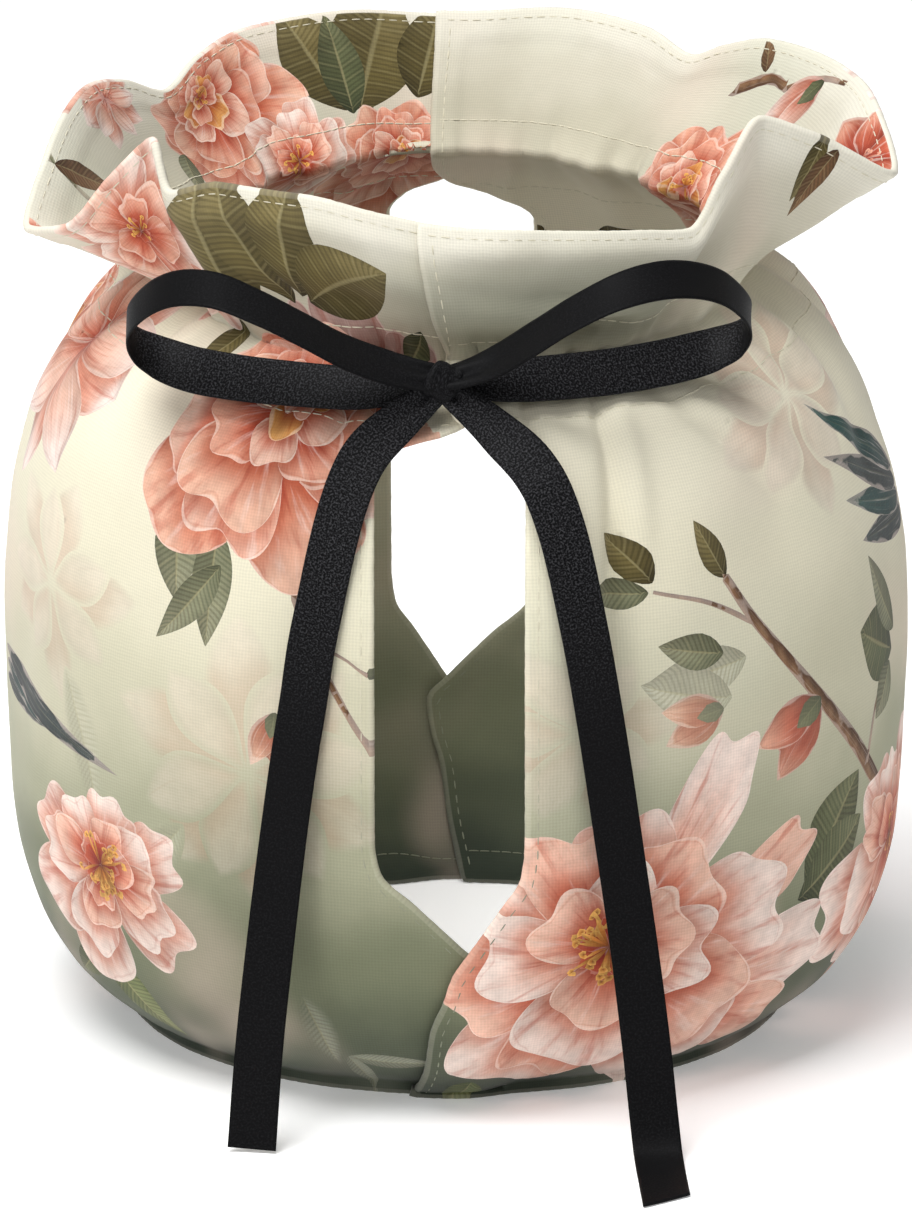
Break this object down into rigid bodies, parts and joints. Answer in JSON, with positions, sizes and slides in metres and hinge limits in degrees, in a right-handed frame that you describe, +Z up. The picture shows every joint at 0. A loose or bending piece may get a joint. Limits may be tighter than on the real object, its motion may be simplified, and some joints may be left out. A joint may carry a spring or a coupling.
{
  "type": "tea cosy",
  "caption": "Round gathered tea cosy in floral-print canvas with open side seams, a flared ruffle and a black ribbon tied in a bow at its neck.",
  "frame": {"origin": "middle of the bounding box's base, on the surface that the hem stands on, 20.2 mm in front of the round cover's axis", "axes": "+Z up, -Y to the front where the bow and the slit in the front seam are, +X to the right seen from the front"},
  "size_m": [0.19, 0.2339, 0.1993],
  "materials": {
    "printed_canvas": "matt cotton canvas, printed with flowers on a ground that fades from cream to grey-green",
    "black_satin": "woven satin ribbon with a soft sheen"
  },
  "bodies": {
    "root": {"panel_left": "printed_canvas", "panel_right": "printed_canvas", "ribbon_knot": "black_satin", "ribbon_loop_left": "black_satin", "ribbon_loop_right": "black_satin", "ribbon_tail_left": "black_satin", "ribbon_tail_right": "black_satin"}
  },
  "joints": []
}
